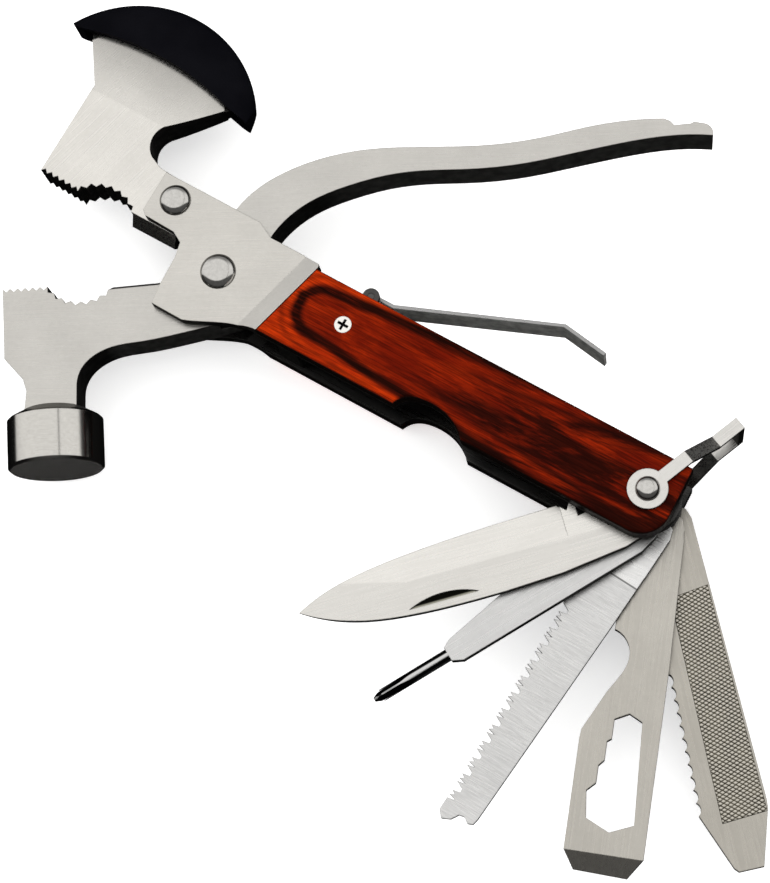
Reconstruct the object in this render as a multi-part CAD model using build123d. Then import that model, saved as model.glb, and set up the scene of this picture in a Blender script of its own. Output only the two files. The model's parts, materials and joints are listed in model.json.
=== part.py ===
from build123d import *
from math import cos, radians, sin, tan
import os

os.makedirs("parts", exist_ok=True)

# A hammer, axe and pliers hand tool with a wooden handle and five fold-out blades.
# All sizes are in millimetres. It is drawn with the main pivot at X = Y = 0, the handle
# along +X, the plier arm on the +Y side and the middle of its thickness at Z = 0. HOME,
# at the end of the sizes, then puts the origin on the back of the handle.

# Gaps between pieces
FACE_GAP = 0.1  # between flat faces that slide on each other
PIN_GAP = 0.05  # radial, between a pin and the hole it turns in
SEAT_GAP = 0.03  # radial, between a fixed pin and its hole

# Thicknesses
FORGING = 10.0  # axe head and plier arm
FRAME_PLATE = 1.5
BOLSTER = 1.5
WOOD = 4.1
DIVIDER = 0.5
KNIFE_THICK = 2.2
DRIVER_THICK = 3.0
SAW_THICK = 1.4
WRENCH_THICK = 2.4
FILE_THICK = 2.6

# Handle
HANDLE_TOP = 11.1
HANDLE_BOTTOM = -9.1
TAIL_X = 118.3  # tail rivet, from the main pivot
TAIL_BELOW_TOP = 9.6
TAIL_OVERHANG = 7.2  # wood beyond the tail rivet
GRIP_NOTCH_DEPTH = 4.4
WOOD_EDGE = 0.8  # rounding of the wood's outer edges
BAND_START = 13.7  # where the bolster starts to rise to the wood, at Y = 0
BAND_END = 19.4
BAND_SLANT = 14.5  # degrees
BOLSTER_TOP = 13.6

# Joints
ARM_CLOSE = 34.0  # degrees the arm swings from open to closed
KNIFE_OPEN = 45.0  # degrees each blade stands open, from folded
DRIVER_OPEN = 61.0
SAW_OPEN = 86.0
WRENCH_OPEN = 111.2
FILE_OPEN = 132.5
BAIL_STAND = 68.0  # degrees above the handle's axis

# Rivets and screws
MAIN_RIVET = 3.0  # shank radii, then head radii
JAW_RIVET = 2.6
TAIL_RIVET = 2.0
MAIN_HEAD = 4.4
JAW_HEAD = 3.9
TAIL_HEAD = 2.9
HEAD_HEIGHT = 1.5
SCREW_SHANK = 1.2
SCREW_HEAD = 2.1
SCREW_X = 35.2
SCREW_Y = 2.0
JAW_RIVET_X = -19.0
JAW_RIVET_Y = 10.7

# Head
HUB = 12.0  # radius of the lapped hubs
HUB_ROOM = 0.4
HAMMER = 11.8  # hammer face radius
HAMMER_X = -43.4  # hammer axis, arm closed
HAMMER_FACE_Y = -44.2
HAMMER_TOP_Y = -31.9
HAMMER_SHOULDER = 2.6  # height of the slope from the neck to the hammer's full width
EDGE_X = -42.5  # centre of the axe edge's arc
EDGE_Y = 24.6
EDGE_RADIUS = 29.8
EDGE_LEFT = 141.4  # degrees round the arc, to the blade's two tips
EDGE_RIGHT = 36.4
GRIND_Y = 26.5  # where the axe blade starts to thin
EDGE_THICK = 0.5
TOOTH = 0.9  # depth of the jaw teeth
CUTTER_LEFT = -27.8
CUTTER_RIGHT = -15.2
UPPER_CUTTER_Y = 3.5
LOWER_CUTTER_Y = -0.9

# Edge guard
GUARD_WALL = 2.1
GUARD_HALF = 4.2
GUARD_GAP = 0.2

# Bail
BAIL_THICK = 1.2
BAIL_WIDTH = 3.2
BAIL_EYE = 4.8
BAIL_REACH = 26.4  # tail rivet to the inside of the crossbar
BAIL_BAR = 1.6
BAIL_SIDE = 0.7  # between the bail's legs and the arm's sides
BAIL_BEND = 12.2  # where a leg starts to bend inwards
BAIL_BEND_RUN = 8.5

# Leaf spring
LEAF_THICK = 0.9
LEAF_WIDTH = 9.0
LEAF_PIN = 0.8
LEAF_EYE = 1.8
LEAF_PIN_X = 36.5
LEAF_PIN_ABOVE_TOP = 1.1
EAR = 2.1

# Inside the handle
SPACER_X = 21.2
SPACER_LENGTH = 5.6
SPACER_PIN = 1.2
TIP_ROOM = 2.2  # from the spacer to the end of the longest folded blade
SCALLOP_DEPTH = 0.8
TANG = 6.1  # radius of the round end of every folding blade
SPRING_ROOM = 0.3  # from the blades to the back springs
SPRING_HEIGHT = 2.6
SPRING_REACH = 46.0  # from the tail rivet to the springs' fixed end
SPRING_FOOT = 7.5
SPRING_FOOT_DROP = 0.8
SPRING_TIP = 1.0
SPRING_PIN = 1.0

# Worked out from the sizes above
TAIL_Y = HANDLE_TOP - TAIL_BELOW_TOP
FORGING_HALF = FORGING / 2
HEAD_INSIDE = FORGING_HALF + FACE_GAP
HEAD_OUTSIDE = HEAD_INSIDE + FRAME_PLATE + BOLSTER
BLADES = [KNIFE_THICK, DRIVER_THICK, SAW_THICK, WRENCH_THICK, FILE_THICK]
BAY = sum(BLADES) + DIVIDER * (len(BLADES) - 1) + FACE_GAP * 2 * len(BLADES)
BAY_HALF = BAY / 2
PLATE_OUTSIDE = BAY_HALF + FRAME_PLATE
HALF_THICKNESS = PLATE_OUTSIDE + WOOD
TAIL_END_X = TAIL_X + TAIL_OVERHANG
BLADE_REACH = TAIL_X - SPACER_X - SPACER_LENGTH - TIP_ROOM
STRETCH = BLADE_REACH / 89.3
SPRING_LOW = TANG + SPRING_ROOM
LEAF_PIN_Y = HANDLE_TOP + LEAF_PIN_ABOVE_TOP
BAIL_INSIDE = FORGING_HALF + BAIL_SIDE
GRIP_X = 70.0
GRIP_Y = 1.0

HOME = Pos(-GRIP_X, -GRIP_Y, HALF_THICKNESS)
TAIL = Pos(TAIL_X, TAIL_Y, 0)


def save(name, shape):
    export_step(HOME * shape, f"parts/{name}.step")


def face_of(*edges):
    return make_face(Curve() + list(edges))


def slab(face, low, high):
    return extrude(Pos(0, 0, low) * face, amount=high - low, dir=(0, 0, 1))


def post(x, y, radius, low, high):
    return slab(Pos(x, y, 0) * Circle(radius), low, high)


def box_between(x0, x1, y0, y1, z0, z1):
    size = Box(x1 - x0, y1 - y0, z1 - z0)
    return Pos((x0 + x1) / 2, (y0 + y1) / 2, (z0 + z1) / 2) * size


def prism_along_x(points, x0, x1):
    """A solid with the (y, z) outline given, from x0 to x1."""
    face = Pos(x0, 0, 0) * (Plane.YZ * make_face(Polyline(*points, close=True)))
    return extrude(face, amount=x1 - x0, dir=(1, 0, 0))


def prism_along_y(points, reach):
    """A solid with the (x, z) outline given, reach to each side of Y = 0."""
    return extrude(Plane.XZ * make_face(Polyline(*points, close=True)), amount=reach, both=True)


def turned(points_and_arcs):
    """A solid turned about Z from edges drawn in the (radius, z) plane."""
    return revolve(Plane.XZ * make_face(Curve() + points_and_arcs), axis=Axis.Z)


def toothed(edge, count, depth):
    """Points of a row of teeth along an edge, cut to its left."""
    points = []
    for step in range(2 * count + 1):
        place = edge @ (step / (2 * count))
        along = edge % (step / (2 * count))
        cut = depth * (step % 2)
        points.append((place.X - along.Y * cut, place.Y + along.X * cut))
    return points


def mirrored(shape):
    return mirror(shape, about=Plane.XY)


# Outlines of the handle and head


def band_x(start, y):
    """X of a line across the bolster, slanted as its band is."""
    return start + y * tan(radians(BAND_SLANT))


def handle_face(front_x, tail_x):
    notch = Spline(
        (55.5, HANDLE_BOTTOM),
        (58.0, HANDLE_BOTTOM + 0.72 * GRIP_NOTCH_DEPTH),
        (62.5, HANDLE_BOTTOM + GRIP_NOTCH_DEPTH),
        (68.5, HANDLE_BOTTOM + 0.84 * GRIP_NOTCH_DEPTH),
        (74.0, HANDLE_BOTTOM),
    )
    corner = ThreePointArc(
        (tail_x - 7.0, HANDLE_BOTTOM),
        (tail_x - 1.9, HANDLE_BOTTOM + 2.1),
        (tail_x + 0.2, HANDLE_BOTTOM + 7.0),
    )
    return face_of(
        Line((band_x(front_x, HANDLE_BOTTOM), HANDLE_BOTTOM), notch @ 0),
        notch,
        Line(notch @ 1, corner @ 0),
        corner,
        Line(corner @ 1, (tail_x - 0.4, HANDLE_TOP)),
        Line((tail_x - 0.4, HANDLE_TOP), (band_x(front_x, HANDLE_TOP), HANDLE_TOP)),
        Line((band_x(front_x, HANDLE_TOP), HANDLE_TOP), (band_x(front_x, HANDLE_BOTTOM), HANDLE_BOTTOM)),
    )


def head_face():
    lobe = Spline((-1.5, -14.8), (3.6, -12.6), (8.7, -10.3), (band_x(BAND_END, HANDLE_BOTTOM), HANDLE_BOTTOM))
    edge = Polyline(
        lobe @ 1,
        (band_x(BAND_END, HANDLE_TOP + 0.6), HANDLE_TOP + 0.6),
        (band_x(BAND_END, HANDLE_TOP + 1.4) - 0.6, HANDLE_TOP + 1.4),
        (band_x(BAND_START, BOLSTER_TOP) - 0.6, BOLSTER_TOP),
        (7.0, BOLSTER_TOP),
        (2.6, 15.8),
        (-24.9, 15.9),
        (-24.9, 4.9),
        (-23.6, 3.8),
        (-15.1, 3.5),
        (-12.2, 1.9),
        (-11.4, -2.0),
        (-11.0, -10.0),
        (-10.3, -14.7),
        lobe @ 0,
    )
    return face_of(lobe, edge)


# Head and handle plates


def frame_plate():
    rise = BAY_HALF - HEAD_INSIDE
    start = BAND_START * cos(radians(BAND_SLANT))
    end = start + 1.5 * rise
    profile = [
        (-60, HEAD_INSIDE),
        (start, HEAD_INSIDE),
        (end, BAY_HALF),
        (TAIL_END_X + 20, BAY_HALF),
        (TAIL_END_X + 20, PLATE_OUTSIDE),
        (end, PLATE_OUTSIDE),
        (start, HEAD_INSIDE + FRAME_PLATE),
        (-60, HEAD_INSIDE + FRAME_PLATE),
    ]
    sheet = Rot(0, 0, -BAND_SLANT) * prism_along_y(profile, TAIL_END_X)
    ear = Pos(LEAF_PIN_X, LEAF_PIN_Y, 0) * Circle(EAR)
    ear += Pos(LEAF_PIN_X, LEAF_PIN_Y - EAR, 0) * Rectangle(2 * EAR, 2 * EAR)
    outline = head_face() + handle_face(BAND_END, TAIL_END_X) + ear
    plate = sheet & slab(outline, 0, HALF_THICKNESS)
    plate -= post(0, 0, MAIN_RIVET + SEAT_GAP, 0, HALF_THICKNESS)
    plate -= post(JAW_RIVET_X, JAW_RIVET_Y, JAW_RIVET + SEAT_GAP, 0, HALF_THICKNESS)
    plate -= post(TAIL_X, TAIL_Y, TAIL_RIVET + SEAT_GAP, 0, HALF_THICKNESS)
    plate -= post(SCREW_X, SCREW_Y, SCREW_SHANK + SEAT_GAP, 0, HALF_THICKNESS)
    plate -= post(SPACER_X + SPACER_LENGTH / 2, 0, SPACER_PIN + SEAT_GAP, 0, HALF_THICKNESS)
    plate -= post(LEAF_PIN_X, LEAF_PIN_Y, LEAF_PIN + SEAT_GAP, 0, HALF_THICKNESS)
    plate -= TAIL * spring_pin_hole()
    return plate


def bolster():
    rise = BAY_HALF - HEAD_INSIDE
    start = BAND_START * cos(radians(BAND_SLANT))
    end = BAND_END * cos(radians(BAND_SLANT))
    profile = [
        (-60, HEAD_INSIDE + FRAME_PLATE),
        (start, HEAD_INSIDE + FRAME_PLATE),
        (start + 1.5 * rise, PLATE_OUTSIDE),
        (end, PLATE_OUTSIDE),
        (end, HALF_THICKNESS - 0.4),
        (start, HEAD_OUTSIDE),
        (-60, HEAD_OUTSIDE),
    ]
    block = Rot(0, 0, -BAND_SLANT) * prism_along_y(profile, TAIL_END_X)
    plate = block & slab(head_face(), 0, HALF_THICKNESS)
    plate -= post(0, 0, MAIN_RIVET + SEAT_GAP, 0, HALF_THICKNESS)
    plate -= post(JAW_RIVET_X, JAW_RIVET_Y, JAW_RIVET + SEAT_GAP, 0, HALF_THICKNESS)
    return plate


def scale():
    wood = slab(handle_face(BAND_END + FACE_GAP, TAIL_END_X), PLATE_OUTSIDE, HALF_THICKNESS)
    outer = wood.faces().sort_by(Axis.Z)[-1].edges()
    wood = fillet(outer, WOOD_EDGE)
    wood -= post(TAIL_X, TAIL_Y, TAIL_RIVET + SEAT_GAP, 0, HALF_THICKNESS)
    wood -= post(SCREW_X, SCREW_Y, SCREW_SHANK + SEAT_GAP, 0, HALF_THICKNESS)
    wood -= post(SCREW_X, SCREW_Y, SCREW_HEAD + SEAT_GAP, HALF_THICKNESS - 1.2, HALF_THICKNESS)
    return wood


def rivet(shank, head, height, under_head):
    """A rivet through the whole tool, with a domed head on each side that is flat on top."""
    flat = 0.5 * head
    rim = under_head + 0.25
    top = under_head + height
    side = [
        Line((0, 0), (shank, 0)),
        Line((shank, 0), (shank, under_head)),
        Line((shank, under_head), (head, under_head)),
        Line((head, under_head), (head, rim)),
        ThreePointArc((head, rim), (0.83 * head, under_head + 0.72 * height), (flat, top)),
        Line((flat, top), (0, top)),
        Line((0, top), (0, 0)),
    ]
    half = turned(side)
    return half + mirrored(half)


def scale_screw():
    head_low = HALF_THICKNESS - 1.2
    screw = post(0, 0, SCREW_SHANK, BAY_HALF, head_low)
    screw += post(0, 0, SCREW_HEAD, head_low, HALF_THICKNESS)
    for turn in (0, 90):
        slot = box_between(-1.4, 1.4, -0.3, 0.3, HALF_THICKNESS - 0.7, HALF_THICKNESS)
        screw -= Rot(0, 0, turn) * slot
    return Pos(SCREW_X, SCREW_Y, 0) * screw


# Axe head


def blade_wedge(room):
    """The space between the axe blade's two ground faces, room wider on each side."""
    top_y = EDGE_Y + EDGE_RADIUS
    flat = FORGING_HALF + room
    thin = EDGE_THICK / 2 + room
    half = [(-60, -flat), (GRIND_Y, -flat), (top_y, -thin), (top_y + 10, -thin)]
    other = [(y, -z) for y, z in reversed(half)]
    return prism_along_x(half + other, -90, 20)


def axe_edge():
    """The ground rim of the blade, turned about the centre of its arc."""
    side = [
        (0, -FORGING),
        (EDGE_RADIUS - 5.5, -FORGING),
        (EDGE_RADIUS - 5.5, -2.4),
        (EDGE_RADIUS, -EDGE_THICK / 2),
    ]
    other = [(r, -z) for r, z in reversed(side)]
    lens = revolve(Plane.XZ * make_face(Polyline(*side, *other, close=True)), axis=Axis.Z)
    return Pos(EDGE_X, EDGE_Y, 0) * lens


def on_edge(radius, angle):
    """A point at a radius and an angle, in degrees, from the centre of the axe edge's arc."""
    return (EDGE_X + radius * cos(radians(angle)), EDGE_Y + radius * sin(radians(angle)))


def axe_head():
    jaw = toothed(Line((-54.5, 2.1), (-43.2, 1.7)), 6, TOOTH)
    arch = toothed(ThreePointArc((-43.2, 1.7), (-35.8, 6.1), (-28.3, UPPER_CUTTER_Y)), 7, TOOTH)
    left_tip = on_edge(EDGE_RADIUS, EDGE_LEFT)
    right_tip = on_edge(EDGE_RADIUS, EDGE_RIGHT)
    edge = ThreePointArc(left_tip, (EDGE_X, EDGE_Y + EDGE_RADIUS), right_tip)
    chin = ThreePointArc(right_tip, (-26.0, 33.6), (-32.8, 26.6))
    throat = ThreePointArc((-32.8, 26.6), (-33.9, 22.4), (-31.4, 18.4))
    tang = Polyline(throat @ 1, (-28.0, 16.9), (-10.2, 15.6), (-10.2, UPPER_CUTTER_Y), arch[-1])
    cheek = Polyline(jaw[0], (-54.5, 27.8), left_tip)
    outline = face_of(Polyline(*jaw, *arch[1:]), cheek, edge, chin, throat, tang)
    head = slab(outline, -FORGING_HALF, FORGING_HALF)
    head = head & blade_wedge(0)
    below_edge = box_between(-90, 20, -60, EDGE_Y + 10, -FORGING, FORGING)
    head = head & (below_edge + axe_edge())
    head -= post(0, 0, HUB + HUB_ROOM, -FORGING, FACE_GAP / 2)
    head += post(0, 0, HUB, FACE_GAP / 2, FORGING_HALF)
    middle = LOWER_CUTTER_Y + (UPPER_CUTTER_Y - LOWER_CUTTER_Y) / 2 + FACE_GAP / 2
    ridge = [(UPPER_CUTTER_Y + 1, -FORGING_HALF), (UPPER_CUTTER_Y, -FORGING_HALF), (middle, 0)]
    ridge += [(UPPER_CUTTER_Y, FORGING_HALF), (UPPER_CUTTER_Y + 1, FORGING_HALF)]
    head += prism_along_x(ridge, CUTTER_LEFT, CUTTER_RIGHT)
    head -= post(0, 0, MAIN_RIVET + SEAT_GAP, -FORGING, FORGING)
    head -= post(JAW_RIVET_X, JAW_RIVET_Y, JAW_RIVET + SEAT_GAP, -FORGING, FORGING)
    return head


def edge_guard():
    outside = EDGE_RADIUS + GUARD_WALL
    rim = ThreePointArc(
        on_edge(outside, EDGE_LEFT + 8.5),
        on_edge(outside, 90),
        on_edge(outside, EDGE_RIGHT - 2.8),
    )
    hem = ThreePointArc(
        on_edge(outside - 7.3, 35.8),
        on_edge(outside - 13.6, 99.4),
        on_edge(outside - 4.3, 146.5),
    )
    outline = face_of(
        rim,
        Polyline(rim @ 1, on_edge(outside - 2.0, 25.8), on_edge(outside - 4.4, 29.4), hem @ 0),
        hem,
        Polyline(hem @ 1, on_edge(outside - 2.3, 149.8), rim @ 0),
    )
    half = GUARD_HALF
    shoulder = outside - 3.4
    dome = [
        Line((0, -half), (shoulder, -half)),
        ThreePointArc((shoulder, -half), (outside, 0), (shoulder, half)),
        Line((shoulder, half), (0, half)),
        Line((0, half), (0, -half)),
    ]
    guard = slab(outline, -half, half) & (Pos(EDGE_X, EDGE_Y, 0) * turned(dome))
    pocket_left = on_edge(EDGE_RADIUS, EDGE_LEFT)[0] - GUARD_GAP
    pocket_right = on_edge(EDGE_RADIUS, EDGE_RIGHT)[0] + GUARD_GAP
    pocket = Pos(EDGE_X, EDGE_Y, 0) * Circle(EDGE_RADIUS + GUARD_GAP)
    window = Rectangle(pocket_right - pocket_left, 40)
    pocket = pocket & (Pos((pocket_left + pocket_right) / 2, EDGE_Y + 20, 0) * window)
    return guard - (slab(pocket, -FORGING, FORGING) & blade_wedge(GUARD_GAP))


# Hammer, lower jaw and plier arm, drawn closed


def plier_arm():
    jaw = toothed(Line((-43.2, 1.4), (-54.5, 1.8)), 6, TOOTH)
    arch = toothed(ThreePointArc((-28.1, LOWER_CUTTER_Y), (-35.4, -3.3), (-43.2, 1.4)), 7, TOOTH)
    neck_end = HAMMER_TOP_Y + HAMMER_SHOULDER - 1.0
    belly = Spline(
        (2.0, -11.8), (-10.0, -13.8), (-20.0, -15.0), (-28.0, -15.8), (-34.4, -19.3), (-36.7, -25.0),
    )
    neck = Polyline(
        belly @ 1, (-36.9, neck_end), (-49.9, neck_end), (-49.2, -25.0), (-50.0, -21.9), (-54.5, -16.3), jaw[-1],
    )
    cutter = Polyline(arch[0], (0, LOWER_CUTTER_Y), belly @ 0)
    lower = face_of(Polyline(*arch, *jaw[1:]), neck, belly, cutter)
    back = Spline(
        (4.8, 16.7), (11.3, 22.2), (19.3, 25.9), (29.6, 28.4), (40.0, 29.1), (51.0, 28.4),
        (70.0, 27.1), (82.0, 27.8), (93.5, 29.4), (105.0, 29.9), (111.3, 29.5),
    )
    nose = ThreePointArc((121.0, 27.2), (122.6, 25.9), (122.8, 23.9))
    inside = Spline(
        (122.8, 23.9), (111.8, 24.9), (100.3, 24.2), (88.7, 22.8), (76.3, 21.4), (61.7, 21.4),
        (51.7, 22.1), (42.4, 21.8), (33.0, 20.1), (24.4, 17.4), (18.2, 13.8), (12.6, 8.0),
    )
    lever = face_of(
        Polyline((0, 0), (-3.5, 11.4), back @ 0),
        back,
        Polyline(back @ 1, (112.8, 28.7), (113.7, 27.5), (117.7, 27.5), (118.6, 27.9), nose @ 0),
        nose,
        inside,
        Line(inside @ 1, (0, 0)),
    )
    arm = slab(lower + lever, -FORGING_HALF, FORGING_HALF)
    shoulder = Polyline(
        (0, HAMMER_FACE_Y), (HAMMER - 0.6, HAMMER_FACE_Y), (HAMMER, HAMMER_FACE_Y + 0.6),
        (HAMMER, HAMMER_TOP_Y), (HAMMER - 0.5, HAMMER_TOP_Y + 0.5),
        (HAMMER - 4.2, HAMMER_TOP_Y + HAMMER_SHOULDER), (0, HAMMER_TOP_Y + HAMMER_SHOULDER), close=True,
    )
    hammer = revolve(make_face(shoulder), axis=Axis.Y)
    arm += Pos(HAMMER_X, 0, 0) * hammer
    arm -= post(0, 0, HUB + HUB_ROOM, -FACE_GAP / 2, FORGING)
    arm += post(0, 0, HUB, -FORGING_HALF, -FACE_GAP / 2)
    middle = LOWER_CUTTER_Y + (UPPER_CUTTER_Y - LOWER_CUTTER_Y) / 2 - FACE_GAP / 2
    ridge = [(LOWER_CUTTER_Y - 1, -FORGING_HALF), (LOWER_CUTTER_Y, -FORGING_HALF), (middle, 0)]
    ridge += [(LOWER_CUTTER_Y, FORGING_HALF), (LOWER_CUTTER_Y - 1, FORGING_HALF)]
    arm += prism_along_x(ridge, CUTTER_LEFT, CUTTER_RIGHT)
    arm -= post(0, 0, MAIN_RIVET + PIN_GAP, -FORGING, FORGING)
    return Rot(0, 0, ARM_CLOSE) * arm


def leaf_spring():
    knee = (80.5 - LEAF_PIN_X, 29.6 - LEAF_PIN_Y)
    end = (92.4 - LEAF_PIN_X, 27.9 - LEAF_PIN_Y)
    top = Polyline((0, LEAF_EYE), (5.0, LEAF_EYE), knee, end)
    strip = make_face(
        Curve()
        + [top, Polyline(end, (end[0] - 0.1, end[1] - LEAF_THICK), (knee[0] - 0.1, knee[1] - LEAF_THICK))]
        + [Polyline((knee[0] - 0.1, knee[1] - LEAF_THICK), (5.2, LEAF_EYE - LEAF_THICK), (0, LEAF_EYE - LEAF_THICK))]
        + [Line((0, LEAF_EYE - LEAF_THICK), (0, LEAF_EYE))]
    )
    leaf = slab(strip + Circle(LEAF_EYE), -LEAF_WIDTH / 2, LEAF_WIDTH / 2)
    leaf -= post(0, 0, LEAF_PIN + PIN_GAP, -LEAF_WIDTH, LEAF_WIDTH)
    return Pos(LEAF_PIN_X, LEAF_PIN_Y, 0) * leaf


def bail():
    eye_low = HALF_THICKNESS + FACE_GAP
    eye_high = eye_low + BAIL_THICK
    bar_out = BAIL_REACH + BAIL_BAR
    bent = BAIL_BEND + BAIL_BEND_RUN
    side = [
        (0, eye_high),
        (BAIL_BEND, eye_high),
        (bent, BAIL_INSIDE + BAIL_THICK),
        (bar_out, BAIL_INSIDE + BAIL_THICK),
    ]
    inner = [
        (BAIL_REACH, BAIL_INSIDE),
        (bent - 0.5, BAIL_INSIDE),
        (BAIL_BEND - 0.5, eye_low),
        (0, eye_low),
    ]
    profile = side + [(x, -z) for x, z in reversed(side)] + [(x, -z) for x, z in reversed(inner)] + inner
    loop = prism_along_y(profile, BAIL_WIDTH / 2)
    for z in (eye_low, -eye_high):
        loop += post(0, 0, BAIL_EYE, z, z + BAIL_THICK)
    loop -= post(0, 0, TAIL_RIVET + PIN_GAP, -2 * HALF_THICKNESS, 2 * HALF_THICKNESS)
    return TAIL * Rot(0, 0, BAIL_STAND) * loop


# Folding blades, drawn folded with the tail rivet at X = Y = 0 and the tip towards -X


def reach(x):
    """X of a point of a blade, which grows and shrinks with the room in the handle."""
    return x * STRETCH


def stretched(points):
    return [(reach(x), y) for x, y in points]


def blade_layers():
    """The low and high Z of each blade, from the front of the tool to the back."""
    layers = []
    top = BAY_HALF
    for thick in BLADES:
        top -= FACE_GAP
        layers.append((top - thick, top))
        top -= thick + FACE_GAP + DIVIDER
    return layers


LAYERS = blade_layers()


def tang_face():
    """The round end that turns on the tail rivet, with the square heel of a folding blade."""
    heel = Polyline((-16.0, -9.4), (-5.0, -9.4), (-2.6, -8.6), (-1.2, -6.0), (0, 0), (-16.0, 0), close=True)
    return Circle(TANG) + make_face(heel)


def finish_blade(solid, layer, angle):
    low, high = layer
    solid += slab(tang_face(), low, high)
    solid -= post(0, 0, TAIL_RIVET + PIN_GAP, low, high)
    return TAIL * Rot(0, 0, angle) * solid


def ground_both_sides(layer, start_y, edge_y, turn, about):
    """The space left by grinding a blade thinner from start_y up to edge_y."""
    low, high = layer
    middle = (low + high) / 2
    side = [(-40, low), (start_y, low), (edge_y, middle - 0.1), (edge_y + 30, middle - 0.1)]
    other = [(y, low + high - z) for y, z in reversed(side)]
    prism = prism_along_x(side + other, -BLADE_REACH, BLADE_REACH)
    return Pos(*about) * Rot(0, 0, turn) * Pos(-about[0], -about[1], 0) * prism


def knife():
    layer = LAYERS[0]
    tip = (reach(-86.3), -4.6)
    edge = Spline(*stretched([(-21.3, 3.75), (-36.0, 3.4), (-51.0, 2.7), (-66.0, 1.3), (-77.0, -0.8)]), tip)
    spine_points = [(-81.6, -7.3), (-71.0, -10.9), (-61.0, -12.3), (-48.6, -12.9), (-38.0, -12.9)]
    spine = Spline(tip, *stretched(spine_points))
    kick = stretched([(-17.0, -0.2), (-17.0, 2.8), (-18.2, 3.4), (-19.2, 1.8)])
    outline = face_of(
        edge,
        spine,
        Polyline(spine @ 1, (reach(-24.0), -12.3), (-8.0, -10.3), (-4.0, -9.0), (-4.0, 2.0), *kick, edge @ 0),
    )
    blade = slab(outline, *layer)
    ground = ground_both_sides(layer, -4.5, 3.9, 0, (0, 0, 0))
    ground = ground & ground_both_sides(layer, -4.5, 3.9, 15, (reach(-60.0), -4.5, 0))
    ricasso = box_between(reach(-20.6), 20, -20, 20, *layer)
    blade = blade & (ground + ricasso)
    nick = face_of(
        Line((reach(-61.0), -11.1), (reach(-44.0), -11.1)),
        ThreePointArc((reach(-44.0), -11.1), (reach(-52.5), -9.2), (reach(-61.0), -11.1)),
    )
    blade -= slab(nick, layer[1] - 0.7, layer[1])
    return finish_blade(blade, layer, KNIFE_OPEN)


def phillips_driver():
    layer = LAYERS[1]
    shaft_y = -7.0
    shank = DRIVER_THICK / 2
    outline = stretched([(-57.4, -4.2), (-59.3, -5.2), (-59.3, -8.8), (-56.8, -10.1)])
    outline = [(-4.0, 3.0), (reach(-20.0), 0.4), (reach(-41.0), -1.3), *outline, (-8.0, -10.1), (-4.0, -9.0)]
    plate = slab(make_face(Polyline(*outline, close=True)), *layer)
    tip_x = reach(-79.5)
    cone = 2.2
    side = Polyline((0, 0), (0, shank), (reach(-59.0) - tip_x - cone, shank), (reach(-59.0) - tip_x, 0.5))
    side += Polyline((reach(-59.0) - tip_x, 0.5), (reach(-59.0) - tip_x, 0), (0, 0))
    shaft = revolve(make_face(side), axis=Axis.X)
    root = Cylinder(shank, 4.0, align=(Align.CENTER, Align.CENTER, Align.MAX))
    shaft += Pos(1.5, 0, 0) * Rot(0, 90, 0) * root
    shaft = Rot(0, 0, 180) * shaft
    length = reach(-59.0) - tip_x
    for turn in (45, 135, 225, 315):
        flute = Pos(0, shank + 0.1, 0) * Rot(0, 0, 4) * Box(24, 1.8, 1.8)
        shaft -= Pos(-length, 0, 0) * Rot(turn, 0, 0) * flute
    place = Pos(reach(-59.0), shaft_y, (layer[0] + layer[1]) / 2)
    return finish_blade(plate + place * shaft, layer, DRIVER_OPEN)


def saw():
    layer = LAYERS[2]
    start = (-31.2, 3.4)
    end = (-84.2, 0.7)
    count = 12
    shape = [(0.0, 0.0), (0.22, -2.0), (0.42, -2.0), (0.52, -0.1), (0.66, -1.1), (0.80, -0.1), (0.9, -2.0)]
    teeth = []
    for tooth in range(count):
        for along, up in shape:
            share = (tooth + along) / count
            x = start[0] + (end[0] - start[0]) * share
            y = start[1] + (end[1] - start[1]) * share + up
            teeth.append((x, y))
    tip = [(-87.4, 0.7), (-89.0, -0.8), (-88.0, -2.8), (-86.1, -3.9)]
    tip += [(-85.8, -5.2), (-86.7, -6.6), (-86.2, -7.8)]
    back = [(-84.7, -8.1), (-31.0, -9.2)]
    outline = [(-4.0, 3.4), *stretched(teeth), *stretched([end] + tip + back), (-8.0, -9.4), (-4.0, -9.0)]
    return finish_blade(slab(make_face(Polyline(*outline, close=True)), *layer), layer, SAW_OPEN)


def wrench_opener():
    layer = LAYERS[3]
    hook_points = [(-31.0, 3.6), (-32.6, 1.0), (-35.6, -0.5), (-39.0, -0.3), (-42.6, 1.4), (-46.2, 3.6)]
    hook = Spline(*stretched(hook_points))
    body = stretched([(-55.4, 8.1), (-57.4, 8.3), (-83.4, 8.3), (-87.6, 5.6), (-88.0, -7.0), (-83.2, -10.2)])
    back = Polyline(hook @ 1, *body, (reach(-38.0), -10.2), (-8.0, -9.6), (-4.0, -9.0), (-4.0, 3.0), hook @ 0)
    plate = slab(face_of(hook, back), *layer)
    steps = [(-52.0, 0.8), (-56.6, 0.8), (-57.4, 1.8), (-61.8, 1.8), (-63.2, 3.0), (-67.3, 3.0), (-69.3, 5.0)]
    hexagon = [(-75.6, 4.2), (-78.2, -1.5), (-75.8, -7.0), (-51.9, -5.7), (-50.3, -2.5)]
    plate -= slab(make_face(Polyline(*stretched(steps + hexagon), close=True)), *layer)
    low, high = layer
    tip = reach(-88.0)
    bevel = Polyline((tip + 4.6, high), (tip - 1, high), (tip - 1, low), (tip, low + 0.4), close=True)
    plate -= extrude(Plane.XZ * make_face(bevel), amount=30, both=True)
    return finish_blade(plate, layer, WRENCH_OPEN)


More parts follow.
